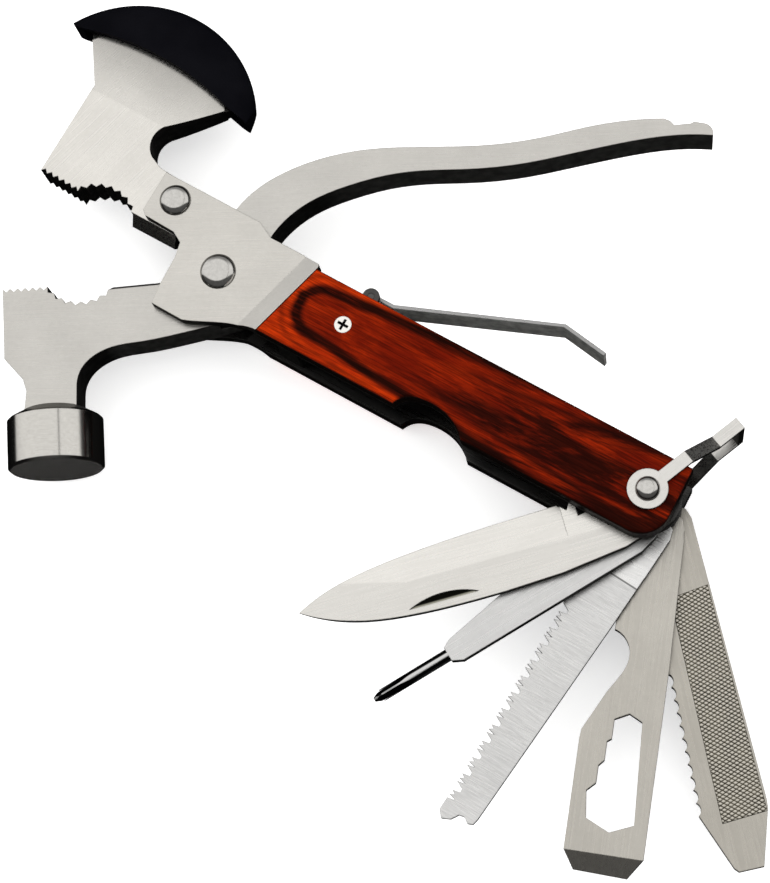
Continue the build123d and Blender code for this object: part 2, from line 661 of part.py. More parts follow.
def file_scaler():
    layer = LAYERS[4]
    count = 11
    start = Vector(reach(-40.3), 4.8)
    end = Vector(reach(-74.0), 5.9)
    scallops = []
    for tooth in range(count):
        first = start + (end - start) * (tooth / count)
        middle = start + (end - start) * ((tooth + 0.5) / count) - Vector(0, SCALLOP_DEPTH)
        last = start + (end - start) * ((tooth + 1) / count)
        scallops.append(ThreePointArc(first, middle, last))
    tip = stretched([(-87.4, 0.9), (-88.4, 0.0), (-88.4, -5.9), (-75.6, -10.0), (-73.7, -10.2)])
    back = Polyline(end, *tip, (reach(-21.0), -9.6), (-6.0, -9.4), (-4.0, -9.0), (-4.0, 4.8), start)
    return finish_blade(slab(face_of(*scallops, back), *layer), layer, FILE_OPEN)


# Inside the handle


def spring_pin_hole():
    foot_y = SPRING_LOW - SPRING_FOOT_DROP + (SPRING_HEIGHT + SPRING_FOOT_DROP) / 2
    foot_x = -SPRING_REACH + SPRING_FOOT / 2
    return post(foot_x, foot_y, SPRING_PIN + SEAT_GAP, -HALF_THICKNESS, HALF_THICKNESS)


def back_spring(layer):
    outline = Polyline(
        (-SPRING_REACH, SPRING_LOW - SPRING_FOOT_DROP),
        (-SPRING_REACH + SPRING_FOOT, SPRING_LOW - SPRING_FOOT_DROP),
        (-SPRING_REACH + SPRING_FOOT + 2, SPRING_LOW + 0.5),
        (-8.0, SPRING_LOW + 0.5),
        (-5.0, SPRING_LOW),
        (-SPRING_TIP, SPRING_LOW),
        (-SPRING_TIP, SPRING_LOW + SPRING_HEIGHT),
        (-SPRING_REACH, SPRING_LOW + SPRING_HEIGHT),
        close=True,
    )
    return TAIL * (slab(make_face(outline), *layer) - spring_pin_hole())


def divider_plate(low):
    end_radius = TAIL_OVERHANG + 0.9
    plate = Circle(end_radius)
    top = SPRING_LOW + SPRING_HEIGHT
    body = Polyline(
        (-SPRING_REACH, top), (0, top), (0, -end_radius), (-20, -end_radius), (-30, 0), (-SPRING_REACH, 0),
        close=True,
    )
    solid = slab(plate + make_face(body), low, low + DIVIDER)
    solid = solid & box_between(-2 * SPRING_REACH, end_radius, -end_radius, top, low, low + DIVIDER)
    solid -= post(0, 0, TAIL_RIVET + SEAT_GAP, low, low + DIVIDER)
    return TAIL * (solid - spring_pin_hole())


def spring_pin():
    foot_y = SPRING_LOW - SPRING_FOOT_DROP + (SPRING_HEIGHT + SPRING_FOOT_DROP) / 2
    return TAIL * post(-SPRING_REACH + SPRING_FOOT / 2, foot_y, SPRING_PIN, -PLATE_OUTSIDE, PLATE_OUTSIDE)


def handle_spacer():
    block = box_between(SPACER_X, SPACER_X + SPACER_LENGTH, -8.3, 10.4, -BAY_HALF, BAY_HALF)
    return block - post(SPACER_X + SPACER_LENGTH / 2, 0, SPACER_PIN + SEAT_GAP, -BAY_HALF, BAY_HALF)


# Write every piece to its own file

plate = frame_plate()
save("front_frame_plate", plate)
save("back_frame_plate", mirrored(plate))
cheek = bolster()
save("front_bolster", cheek)
save("back_bolster", mirrored(cheek))
wood = scale()
save("front_wood_scale", wood)
save("back_wood_scale", mirrored(wood))
screw = scale_screw()
save("front_scale_screw", screw)
save("back_scale_screw", mirrored(screw))
save("main_pivot_rivet", rivet(MAIN_RIVET, MAIN_HEAD, HEAD_HEIGHT, HEAD_OUTSIDE))
save("jaw_rivet", Pos(JAW_RIVET_X, JAW_RIVET_Y, 0) * rivet(JAW_RIVET, JAW_HEAD, HEAD_HEIGHT, HEAD_OUTSIDE))
bail_outside = HALF_THICKNESS + BAIL_THICK + 2 * FACE_GAP
save("tail_rivet", TAIL * rivet(TAIL_RIVET, TAIL_HEAD, HEAD_HEIGHT, bail_outside))
save("axe_head", axe_head())
save("handle_spacer", handle_spacer())
save("spacer_pin", post(SPACER_X + SPACER_LENGTH / 2, 0, SPACER_PIN, -PLATE_OUTSIDE, PLATE_OUTSIDE))
save("leaf_spring_pin", post(LEAF_PIN_X, LEAF_PIN_Y, LEAF_PIN, -PLATE_OUTSIDE, PLATE_OUTSIDE))
save("spring_pin", spring_pin())
blade_names = ["knife", "driver", "saw", "wrench", "file"]
for blade_name, layer in zip(blade_names, LAYERS):
    save(f"{blade_name}_back_spring", back_spring(layer))
for number, layer in enumerate(LAYERS[:-1], start=1):
    save(f"divider_plate_{number}", divider_plate(layer[0] - FACE_GAP - DIVIDER))
save("hammer_plier_arm", plier_arm())
save("leaf_spring", leaf_spring())
save("edge_guard", edge_guard())
save("lock_bail", bail())
save("knife_blade", knife())
save("phillips_driver", phillips_driver())
save("saw_blade", saw())
save("wrench_opener", wrench_opener())
save("file_scaler", file_scaler())
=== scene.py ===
import json
import math
import bmesh
import bpy
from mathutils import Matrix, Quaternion, Vector


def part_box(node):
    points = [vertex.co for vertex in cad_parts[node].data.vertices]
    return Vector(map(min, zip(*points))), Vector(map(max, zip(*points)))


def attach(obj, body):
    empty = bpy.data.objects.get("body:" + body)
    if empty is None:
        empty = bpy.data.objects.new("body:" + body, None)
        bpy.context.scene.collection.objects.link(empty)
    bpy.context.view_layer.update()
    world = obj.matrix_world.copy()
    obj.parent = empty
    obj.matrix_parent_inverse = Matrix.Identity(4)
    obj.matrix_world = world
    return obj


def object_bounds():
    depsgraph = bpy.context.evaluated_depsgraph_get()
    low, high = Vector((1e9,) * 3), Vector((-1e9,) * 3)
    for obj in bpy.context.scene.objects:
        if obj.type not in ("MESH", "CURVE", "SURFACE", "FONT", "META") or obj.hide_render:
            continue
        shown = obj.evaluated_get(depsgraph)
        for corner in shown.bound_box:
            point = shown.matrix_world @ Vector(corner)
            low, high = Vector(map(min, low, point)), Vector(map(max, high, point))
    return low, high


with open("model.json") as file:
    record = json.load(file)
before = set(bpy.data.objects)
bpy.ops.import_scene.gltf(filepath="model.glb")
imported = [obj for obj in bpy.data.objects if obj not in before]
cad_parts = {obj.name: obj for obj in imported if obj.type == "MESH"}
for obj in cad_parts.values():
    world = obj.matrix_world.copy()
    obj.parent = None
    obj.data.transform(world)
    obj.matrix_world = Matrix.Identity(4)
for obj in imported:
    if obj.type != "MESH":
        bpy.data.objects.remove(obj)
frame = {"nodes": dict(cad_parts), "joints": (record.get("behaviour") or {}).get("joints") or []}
cad_low, cad_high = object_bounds()
nodes = frame["nodes"]
MM = 0.001

# Where things are, from the frame

CENTRE = (cad_low + cad_high) / 2
HINGES = {joint["child"]: Vector(joint["pos_m"]) for joint in frame["joints"] if joint["type"] == "hinge"}
RANGES = {joint["child"]: joint["range_deg"] for joint in frame["joints"] if joint["type"] == "hinge"}
ARM_OPEN = -RANGES["plier_arm"][0]
MID_PLANE = HINGES["plier_arm"].z


def opened(blade):
    """How far round the tail rivet a blade stands at rest, in degrees: its travel back to folded shut."""
    return -RANGES[blade][0]


# The camera looks down steeply on the front face

VIEW_AZIMUTH = math.radians(52.9)
VIEW_ELEVATION = math.radians(74.3)
VIEW_ROLL = math.radians(-23.3)
VIEW_DISTANCE = 0.599
VIEW_PAN = (-0.0090, -0.0146)  # to the right and up, from the middle of the object
LENS = 100.7
SENSOR = 36.0
NEAR_CLIP = 0.01
FAR_CLIP = 20

view_back = Vector((
    math.sin(VIEW_AZIMUTH) * math.cos(VIEW_ELEVATION),
    -math.cos(VIEW_AZIMUTH) * math.cos(VIEW_ELEVATION),
    math.sin(VIEW_ELEVATION),
))
view_turn = (-view_back).to_track_quat("-Z", "Y") @ Quaternion((0, 0, 1), VIEW_ROLL)
view_right = view_turn @ Vector((1, 0, 0))
view_up = view_turn @ Vector((0, 1, 0))


def add_camera():
    data = bpy.data.cameras.new("camera")
    data.lens = LENS
    data.sensor_width = SENSOR
    data.clip_start = NEAR_CLIP
    data.clip_end = FAR_CLIP
    camera = bpy.data.objects.new("camera", data)
    camera.rotation_mode = "QUATERNION"
    camera.rotation_quaternion = view_turn
    aim = CENTRE + view_right * VIEW_PAN[0] + view_up * VIEW_PAN[1]
    camera.location = aim + view_back * VIEW_DISTANCE
    bpy.context.scene.collection.objects.link(camera)
    bpy.context.scene.camera = camera


# Node graphs


class Graph:
    """A material's or world's node tree, with short calls for the nodes used here."""

    def __init__(self, owner, output):
        owner.use_nodes = True
        self.tree = owner.node_tree
        self.tree.nodes.clear()
        self.output = self.tree.nodes.new(output)

    def add(self, kind, inputs=None, **settings):
        node = self.tree.nodes.new(kind)
        for name, value in settings.items():
            setattr(node, name, value)
        for socket, value in (inputs or {}).items():
            self.put(node.inputs[socket], value)
        return node

    def put(self, socket, value):
        if isinstance(value, bpy.types.NodeSocket):
            self.tree.links.new(value, socket)
        else:
            socket.default_value = value

    def math(self, operation, first, second=0.0, third=0.0):
        return self.add("ShaderNodeMath", {0: first, 1: second, 2: third}, operation=operation).outputs[0]

    def centred(self, value):
        return self.math("SUBTRACT", value, 0.5)

    def spread(self, value, low, high, out_low=0.0, out_high=1.0):
        """value from low to high becomes out_low to out_high, eased at both ends."""
        inputs = {"Value": value, "From Min": low, "From Max": high, "To Min": out_low, "To Max": out_high}
        return self.add("ShaderNodeMapRange", inputs, interpolation_type="SMOOTHSTEP").outputs[0]

    def mix(self, share, first, second, kind="MIX"):
        node = self.add("ShaderNodeMix", {"Factor": share}, data_type="RGBA", blend_type=kind)
        self.put(node.inputs[6], first)
        self.put(node.inputs[7], second)
        return node.outputs[2]

    def toned(self, body, tone):
        """body made lighter or darker by the factor tone."""
        factor = self.add("ShaderNodeCombineColor", {0: tone, 1: tone, 2: tone}).outputs[0]
        return self.mix(1.0, body, factor, "MULTIPLY")

    def split(self, vector):
        return self.add("ShaderNodeSeparateXYZ", {0: vector}).outputs

    def noise(self, vector, scale, detail=3.0, roughness=0.55, distortion=0.0):
        inputs = {"Vector": vector, "Scale": scale, "Detail": detail}
        inputs.update({"Roughness": roughness, "Distortion": distortion})
        return self.add("ShaderNodeTexNoise", inputs).outputs["Fac"]

    def grain(self, place, angle, scale, detail, roughness=0.55, distortion=0.0):
        """Noise with its own scale along angle, across it and through the piece."""
        return self.noise(self.stretch(place, angle, scale), 1.0, detail, roughness, distortion)

    def stretch(self, vector, angle, scale):
        """vector turned by -angle degrees about Z, then scaled, so that its X runs along angle."""
        turned = self.add("ShaderNodeMapping", {"Vector": vector, "Rotation": (0, 0, -math.radians(angle))})
        return self.add("ShaderNodeMapping", {"Vector": turned.outputs[0], "Scale": scale}).outputs[0]

    def dot(self, vector, direction):
        inputs = {0: vector, 1: tuple(direction)}
        return self.add("ShaderNodeVectorMath", inputs, operation="DOT_PRODUCT").outputs["Value"]

    def bump(self, strength, distance, height, **others):
        """Puts fine relief on the shader's normal."""
        inputs = {"Strength": strength, "Distance": distance, "Height": height, **others}
        self.put(self.shader.inputs["Normal"], self.add("ShaderNodeBump", inputs).outputs[0])


def colour(red, green, blue):
    return (red, green, blue, 1.0)


def grey(value, warm=0.04):
    return colour(value, value * (1 - warm / 3), value * (1 - warm))


def new_material(name):
    material = bpy.data.materials.new(name)
    graph = Graph(material, "ShaderNodeOutputMaterial")
    graph.shader = graph.add("ShaderNodeBsdfPrincipled")
    graph.tree.links.new(graph.shader.outputs[0], graph.output.inputs["Surface"])
    return material, graph


# Steel

DARK_RIM = colour(0.3, 0.3, 0.3)  # how much a steel surface mirrors when seen nearly edge on
FACE_TURN = (0.15, 0.4)  # how squarely a surface faces front or back, from a side face to a broad face
FINE_RELIEF = 0.02 * MM
LINE_SCALE = (70.0, 2600.0, 2600.0)  # of the brushing: along it, across it and through the piece
HAIR_SCALE = (160.0, 5720.0, 5720.0)
CLOUD_SCALE = 75.0
SPECK_SCALE = 900.0
PIT_SCALE = 420.0
PIT_LIGHT = 1.9  # how much lighter a side face is between its pits
PIT_HEIGHT = 3.0
SIDE_ROUGH = 0.5
EDGE_RADIUS = 0.25 * MM
EDGE_TURN = (0.03, 0.2)  # how far the rounded normal turns from the true one, from no brightening to full brightening
# How far edges are brightened towards the face colour: partly wear, partly painted highlight.
EDGE_WEAR_AND_HIGHLIGHT = 0.3


def face_share(graph, normal):
    """0 on the side faces of a flat piece, 1 on its front and back."""
    facing = graph.math("ABSOLUTE", graph.split(normal)[2])
    return graph.spread(facing, *FACE_TURN)


def edge_wear_and_highlight(graph, edge):
    """More than 0 along sharp edges, where the rounded normal, edge, leaves the true one. There the colour
    goes back towards the face colour: partly wear, partly a painted highlight.
    """
    true_normal = graph.add("ShaderNodeNewGeometry").outputs["Normal"]
    inputs = {0: edge, 1: true_normal}
    aligned = graph.add("ShaderNodeVectorMath", inputs, operation="DOT_PRODUCT").outputs["Value"]
    turned = graph.math("SUBTRACT", 1.0, aligned)
    return graph.math("MULTIPLY", graph.spread(turned, *EDGE_TURN), EDGE_WEAR_AND_HIGHLIGHT)


def steel(name, face, side, grain_angle, rough=(0.24, 0.36), grain=0.10, patches=0.10, relief=0.25,
          side_where=None, side_rough=0.14, metal_where=None, extra=None):
    """Brushed steel: fine grain along one direction on the broad faces, and rougher sides whose dark colour
    is partly their own finish and partly painted shade.

    side_where tells which sides are finished like a face, with side_rough as their roughness.
    metal_where tells how metallic each place is. extra draws further details into the colour.
    """
    material, graph = new_material(name)
    where = graph.add("ShaderNodeTexCoord").outputs
    place = where["Object"]
    normal = where["Normal"]
    lines = graph.grain(place, grain_angle, LINE_SCALE, 2.0, 0.6)
    hairs = graph.grain(place, grain_angle, HAIR_SCALE, 1.0)
    clouds = graph.noise(place, CLOUD_SCALE, 3.0)
    specks = graph.noise(place, SPECK_SCALE, 2.0)
    tone = graph.math("MULTIPLY_ADD", graph.centred(lines), grain * 2, 1.0)
    tone = graph.math("MULTIPLY_ADD", graph.centred(hairs), grain, tone)
    tone = graph.math("MULTIPLY_ADD", graph.centred(clouds), patches * 2, tone)
    tone = graph.math("MULTIPLY_ADD", graph.centred(specks), patches, tone)

    share = face_share(graph, normal)
    if side_where:
        share = graph.math("MAXIMUM", share, side_where(graph, place, normal))
    pits = graph.noise(place, PIT_SCALE, 4.0, 0.6)
    light_side = colour(*[channel * PIT_LIGHT for channel in side[:3]])
    side_tone = graph.mix(graph.spread(pits, 0.3, 0.75), side, light_side)
    # The side faces get the dark side colour: partly their own finish, partly painted shade.
    body = graph.mix(share, side_tone, graph.toned(face, tone))
    if extra:
        body = extra(graph, place, normal, body)
    edge = graph.add("ShaderNodeBevel", {"Radius": EDGE_RADIUS}, samples=4).outputs[0]
    graph.put(graph.shader.inputs["Base Color"], graph.mix(edge_wear_and_highlight(graph, edge), body, face))

    wide = graph.spread(lines, 0.25, 0.75, rough[0], rough[1])
    if side_where:
        wide = graph.mix(side_where(graph, place, normal), wide, grey(side_rough, 0))
    graph.put(graph.shader.inputs["Roughness"], graph.mix(share, grey(SIDE_ROUGH, 0), wide))
    graph.shader.inputs["Specular Tint"].default_value = DARK_RIM
    metal = metal_where(graph, place, normal) if metal_where else 1.0
    graph.put(graph.shader.inputs["Metallic"], metal)

    height = graph.math("MULTIPLY_ADD", hairs, 0.5, lines)
    pit_height = graph.math("MULTIPLY", pits, PIT_HEIGHT)
    height = graph.math("MULTIPLY_ADD", graph.math("SUBTRACT", 1.0, share), pit_height, height)
    graph.bump(relief, FINE_RELIEF, height, Normal=edge)
    return material


HEAD_ROUGH = (0.11, 0.165)
RING_TURNS = 9000.0  # radians of the turning marks' wave in a metre
RING_HEIGHT = 0.15
SCUFF_SCALE = 1300.0


def polished(name, face, axis_point):
    """A turned and polished head: faint rings about its axis."""
    material, graph = new_material(name)
    place = graph.add("ShaderNodeTexCoord").outputs["Object"]
    inputs = {0: place, 1: (axis_point.x, axis_point.y, 0)}
    flat = graph.add("ShaderNodeVectorMath", inputs, operation="SUBTRACT").outputs[0]
    flat = graph.add("ShaderNodeVectorMath", {0: flat, 1: (1, 1, 0)}, operation="MULTIPLY").outputs[0]
    radius = graph.add("ShaderNodeVectorMath", {0: flat}, operation="LENGTH").outputs["Value"]
    turning = graph.math("SINE", graph.math("MULTIPLY", radius, RING_TURNS))
    scuffs = graph.noise(place, SCUFF_SCALE, 3.0)
    tone = graph.spread(scuffs, 0.3, 0.7, 0.9, 1.03)
    graph.put(graph.shader.inputs["Base Color"], graph.toned(face, tone))
    graph.put(graph.shader.inputs["Roughness"], graph.spread(scuffs, 0.3, 0.7, *HEAD_ROUGH))
    graph.shader.inputs["Metallic"].default_value = 1.0
    graph.shader.inputs["Specular Tint"].default_value = DARK_RIM
    graph.bump(0.12, FINE_RELIEF, graph.math("MULTIPLY_ADD", turning, RING_HEIGHT, scuffs))
    return material


# Wood

RING_CENTRE = (-41.3 * MM, 0.5 * MM)  # of the ring's round end, near the bolster
RING_RADIUS = 5.7 * MM
RING_SPREAD = 0.085  # how fast its two arms part towards the tail
OUTER_RING = 3.6 * MM  # outside the main ring
INNER_RING = 1.2 * MM
FLAME_FROM = -16.0 * MM
SWAY_SCALE = (18.0, 45.0, 20.0)  # this and the next five: along the handle, across it and through it
WAVE_SCALE = (60.0, 420.0, 60.0)
STREAK_SCALE = (90.0, 1500.0, 700.0)
FIBRE_SCALE = (120.0, 3600.0, 1800.0)
PATCH_SCALE = (48.0, 150.0, 80.0)
FLAME_SCALE = (30.0, 190.0, 90.0)
FLAME_ANGLE = 3
LIGHT_OUTER = colour(0.46, 0.030, 0.001)
DARK_OUTER = colour(0.24, 0.011, 0.0005)
LIGHT_INNER = colour(0.30, 0.017, 0.0006)
DARK_INNER = colour(0.12, 0.005, 0.0003)
STREAK_RED = colour(0.08, 0.003, 0.0003)
RING_BROWN = colour(0.012, 0.0015, 0.0004)
FLAME_BROWN = colour(0.014, 0.0014, 0.0004)
# Painted shade on the wood's side faces.
WOOD_SIDE_PAINTED_SHADE = colour(0.004, 0.0025, 0.002)


def ring_reach(graph, place):
    """How far a place is from the line that the rings run round, on wood that sways a little."""
    along, up, _ = graph.split(place)
    sway = graph.centred(graph.grain(place, 0, SWAY_SCALE, 2.0))
    wave = graph.centred(graph.grain(place, 0, WAVE_SCALE, 3.0))
    along = graph.math("MULTIPLY_ADD", wave, 2.4 * MM, along)
    up = graph.math("MULTIPLY_ADD", sway, 4.5 * MM, graph.math("MULTIPLY_ADD", wave, 1.1 * MM, up))
    from_end = graph.math("SUBTRACT", along, RING_CENTRE[0])
    before = graph.math("MINIMUM", from_end, 0.0)
    beyond = graph.math("MAXIMUM", from_end, 0.0)
    aside = graph.math("SUBTRACT", up, RING_CENTRE[1])
    square = graph.math("MULTIPLY_ADD", before, before, graph.math("MULTIPLY", aside, aside))
    return graph.math("SUBTRACT", graph.math("SQRT", square), graph.math("MULTIPLY", beyond, RING_SPREAD))


def wood_rings(graph, place, reach, streaks):
    """1 on the dark rings, fading to 0 beside them."""

    def band(radius, half, soft):
        off = graph.math("ABSOLUTE", graph.math("SUBTRACT", reach, radius))
        return graph.spread(off, half, half + soft, 1.0, 0.0)

    worn_line = graph.spread(streaks, 0.2, 0.55, 0.72, 1.0)
    main_ring = graph.math("MULTIPLY", band(RING_RADIUS, 0.55 * MM, 1.7 * MM), worn_line)
    outer_ring = graph.math("MULTIPLY", band(RING_RADIUS + OUTER_RING, 0.1 * MM, 1.0 * MM), 0.35)
    late = graph.spread(graph.split(place)[0], FLAME_FROM, 8 * MM, 0.0, 0.7)
    inner_ring = graph.math("MULTIPLY", band(INNER_RING, 0.1 * MM, 1.3 * MM), late)
    return graph.math("MAXIMUM", main_ring, graph.math("MAXIMUM", outer_ring, inner_ring))


def wood_flames(graph, place):
    """1 on the black flames, which grow denser towards the tail."""
    along = graph.split(place)[0]
    flames = graph.grain(place, FLAME_ANGLE, FLAME_SCALE, 5.0, 0.66, 0.5)
    flame_line = graph.spread(along, FLAME_FROM - 4 * MM, 16 * MM, 0.60, 0.46)
    flame = graph.spread(graph.math("SUBTRACT", flames, flame_line), -0.08, 0.10)
    begun = graph.spread(along, FLAME_FROM - 12 * MM, FLAME_FROM + 10 * MM, 0.0, 0.95)
    return graph.math("MULTIPLY", flame, begun)


def wood(name):
    """Red-brown lacquered wood: one long dark ring round the screw, and black flames towards the tail. Its
    side faces are painted near-black: painted shade.
    """
    material, graph = new_material(name)
    where = graph.add("ShaderNodeTexCoord").outputs
    place = where["Object"]
    reach = ring_reach(graph, place)
    streaks = graph.grain(place, 0, STREAK_SCALE, 4.0, 0.65)
    fibres = graph.grain(place, 0, FIBRE_SCALE, 3.0, 0.65)
    patches = graph.grain(place, 0, PATCH_SCALE, 4.0, 0.6, 0.7)

    outer = graph.mix(graph.spread(patches, 0.35, 0.75), LIGHT_OUTER, DARK_OUTER)
    inner = graph.mix(graph.spread(patches, 0.25, 0.65), LIGHT_INNER, DARK_INNER)
    outside = graph.spread(reach, RING_RADIUS - 1.0 * MM, RING_RADIUS + 1.5 * MM)
    red = graph.mix(outside, inner, outer)
    red = graph.mix(graph.math("MULTIPLY", graph.spread(streaks, 0.48, 0.72), 0.55), red, STREAK_RED)
    red = graph.mix(wood_rings(graph, place, reach, streaks), red, RING_BROWN)
    red = graph.mix(wood_flames(graph, place), red, FLAME_BROWN)
    red = graph.toned(red, graph.spread(fibres, 0.32, 0.66, 1.15, 0.5))

    # The side faces are painted near-black: painted shade.
    facing = graph.math("ABSOLUTE", graph.split(where["Normal"])[2])
    share = graph.spread(facing, 0.25, 0.95)
    graph.put(graph.shader.inputs["Base Color"], graph.mix(share, WOOD_SIDE_PAINTED_SHADE, red))
    graph.put(graph.shader.inputs["Roughness"], graph.spread(streaks, 0.3, 0.7, 0.34, 0.5))
    graph.shader.inputs["Specular IOR Level"].default_value = 0.02
    graph.bump(0.25, 0.04 * MM, graph.math("MULTIPLY_ADD", fibres, 0.6, streaks))
    return material


RUBBER_GRAIN = 2400.0
RUBBER_WEAR = 60.0
RUBBER_BLACK = colour(0.0012, 0.0012, 0.0022)
RUBBER_WORN = colour(0.003, 0.003, 0.0045)


def rubber(name):
    """Matt black rubber with a fine grain, slightly lighter where it is worn."""
    material, graph = new_material(name)
    place = graph.add("ShaderNodeTexCoord").outputs["Object"]
    grain = graph.noise(place, RUBBER_GRAIN, 4.0, 0.6)
    wear = graph.spread(graph.noise(place, RUBBER_WEAR, 3.0), 0.3, 0.75)
    graph.put(graph.shader.inputs["Base Color"], graph.mix(wear, RUBBER_BLACK, RUBBER_WORN))
    graph.put(graph.shader.inputs["Roughness"], graph.spread(grain, 0.3, 0.7, 0.55, 0.75))
    graph.shader.inputs["Specular IOR Level"].default_value = 0.03
    graph.bump(0.2, 0.03 * MM, grain)
    return material


# Details of single pieces. Along a blade means from the tail rivet, as the blade stands at rest.

SAW_ROOT = 19.2 * MM  # along the blade, where its polished root ends
SAW_SCRATCHES = (160.0, 5200.0, 2600.0)
LINE_BLACK = colour(0.03, 0.03, 0.03)
KNIFE_GRIND = -4.5 * MM  # across the blade, where its bevel meets the flat beside the spine
KNIFE_TURN = 60.0 * MM  # along the blade, where that line turns
KNIFE_DROP = -0.27  # its slope beyond the turn
NICK_ACROSS = -10.2 * MM  # the middle of the nail nick
NICK_ALONG = 52.5 * MM
NICK_HALF_WIDTH = 1.2 * MM
NICK_HALF_LENGTH = 9.5 * MM
NICK_DEPTH = (0.55 * MM, 0.65 * MM)  # below the blade's front, from outside the nick to inside
# Painted shade inside the nail nick: lighter on its shallow side, darkest at its deep side.
NICK_PAINTED_HALF_SHADE = colour(0.35, 0.34, 0.28)
NICK_PAINTED_SHADE = colour(0.004, 0.004, 0.003)
GRIND_START = 25.5 * MM  # Y where the axe's bevel begins
GRIND_END = 44.0 * MM  # Y where its painted shade is darkest
BEVEL_FACING = (0.992, 0.9995)  # how squarely a surface faces front or back, from the bevel to a flat
# Painted light and shade on the axe's bevel, from its start to where it is darkest.
BEVEL_PAINTED_TONES = (1.2, 0.76)
BIT_START = 46.0 * MM  # along the blade, where the driver's fluted bit begins
# Painted shade on the slopes of the driver's flutes.
FLUTE_PAINTED_SHADE = colour(0.01, 0.01, 0.01)
SCREW_RECESS = 0.35 * MM
SCREW_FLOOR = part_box("front_scale_screw")[1].z - MID_PLANE - SCREW_RECESS
# Painted shade on the floor of the screw's cross.
CROSS_PAINTED_SHADE = colour(0.003, 0.003, 0.003)
BAND_METAL_LOSS = 0.55  # how much less metallic the bolster's band is
LEAF_SIDE_METAL = 0.5
LEAF_FACE_GAIN = 0.4
ARM_TURN = math.radians(ARM_OPEN)
HAMMER_AXIS = Vector((math.sin(ARM_TURN), -math.cos(ARM_TURN), 0))
HAMMER_START = 31.4 * MM  # from the arm's pivot along that axis, where the turned head begins
STRIKING_METAL_LOSS = 0.07


def blade_axes(blade):
    """The tail rivet, and the directions along and across a blade as it stands at rest."""
    turn = math.radians(opened(blade))
    pivot = HINGES[blade]
    along = Vector((-math.cos(turn), -math.sin(turn), 0))
    across = Vector((-math.sin(turn), math.cos(turn), 0))
    return pivot, along, across


def along_blade(graph, place, blade):
    pivot, along, _ = blade_axes(blade)
    return graph.math("SUBTRACT", graph.dot(place, along), pivot.dot(along))


def saw_finish(graph, place, normal, body):
    """Polished root, then a coarser ground blade beyond a line."""
    reach = along_blade(graph, place, "saw")
    beyond = graph.spread(reach, SAW_ROOT - 0.1 * MM, SAW_ROOT + 0.1 * MM)
    off = graph.math("ABSOLUTE", graph.math("SUBTRACT", reach, SAW_ROOT))
    line = graph.spread(off, 0.1 * MM, 0.3 * MM, 0.75, 0.0)
    _, along, _ = blade_axes("saw")
    angle = math.degrees(math.atan2(along.x, -along.y))
    scratches = graph.grain(place, angle, SAW_SCRATCHES, 3.0, 0.7)
    ground = graph.toned(body, graph.spread(scratches, 0.25, 0.75, 0.70, 0.95))
    share = graph.math("MULTIPLY", beyond, face_share(graph, normal))
    return graph.mix(line, graph.mix(share, body, ground), LINE_BLACK)


def knife_finish(graph, place, normal, body):
    """A slightly darker flat beside the spine, and a nail nick painted in shade: half shade on its shallow
    side, darker at its deep side.
    """
    pivot, _, across = blade_axes("knife")
    side = graph.math("SUBTRACT", graph.dot(place, across), pivot.dot(across))
    reach = along_blade(graph, place, "knife")
    past_turn = graph.math("MAXIMUM", graph.math("SUBTRACT", reach, KNIFE_TURN), 0.0)
    line = graph.math("MULTIPLY_ADD", past_turn, KNIFE_DROP, side)
    flat = graph.spread(line, KNIFE_GRIND - 0.3 * MM, KNIFE_GRIND + 0.3 * MM, 0.88, 0.98)
    depth = graph.math("SUBTRACT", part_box("knife_blade")[1].z, graph.split(place)[2])
    within = graph.math("COMPARE", side, NICK_ACROSS, NICK_HALF_WIDTH)
    nick = graph.math("MULTIPLY", graph.spread(depth, *NICK_DEPTH), within)
    nick = graph.math("MULTIPLY", nick, graph.math("COMPARE", reach, NICK_ALONG, NICK_HALF_LENGTH))
    shaded_deep_side = graph.spread(side, NICK_ACROSS - 0.7 * MM, NICK_ACROSS - 0.2 * MM)
    return graph.mix(nick, graph.toned(body, flat), graph.mix(shaded_deep_side, NICK_PAINTED_HALF_SHADE, NICK_PAINTED_SHADE))


def bevel_painted_light_and_shade(graph, place, normal, body):
    """Painted light and shade on the axe's long bevel: lighter at its start, growing darker to the edge."""
    facing = graph.math("ABSOLUTE", graph.split(normal)[2])
    fade = graph.spread(graph.split(place)[1], GRIND_START, GRIND_END, *BEVEL_PAINTED_TONES)
    bevel = graph.spread(facing, *BEVEL_FACING, 1.0, 0.0)
    return graph.toned(body, graph.math("MULTIPLY_ADD", graph.math("SUBTRACT", fade, 1.0), bevel, 1.0))


def driver_flute_shade(graph, place, normal, body):
    """Painted shade: the bit's flutes are black along their slopes."""
    _, _, across = blade_axes("driver")
    slope = graph.math("ABSOLUTE", graph.dot(normal, across))
    flute_shade = graph.math("MULTIPLY", graph.spread(slope, 0.2, 0.35), graph.spread(slope, 0.75, 0.9, 1.0, 0.0))
    on_bit = graph.spread(along_blade(graph, place, "driver"), BIT_START, BIT_START + 1 * MM)
    return graph.mix(graph.math("MULTIPLY", flute_shade, on_bit), body, FLUTE_PAINTED_SHADE)


def bolster_band(graph, place, normal):
    """1 on the sloping band where the bolster meets the wood."""
    lengthways = graph.spread(graph.math("ABSOLUTE", graph.split(normal)[0]), 0.2, 0.3)
    outwards = graph.spread(graph.math("ABSOLUTE", graph.split(normal)[2]), 0.1, 0.2)
    return graph.math("MULTIPLY", lengthways, outwards)


def bolster_metal(graph, place, normal):
    """The sloping band is only partly metallic, so that it takes light from all round."""
    return graph.math("MULTIPLY_ADD", bolster_band(graph, place, normal), -BAND_METAL_LOSS, 1.0)


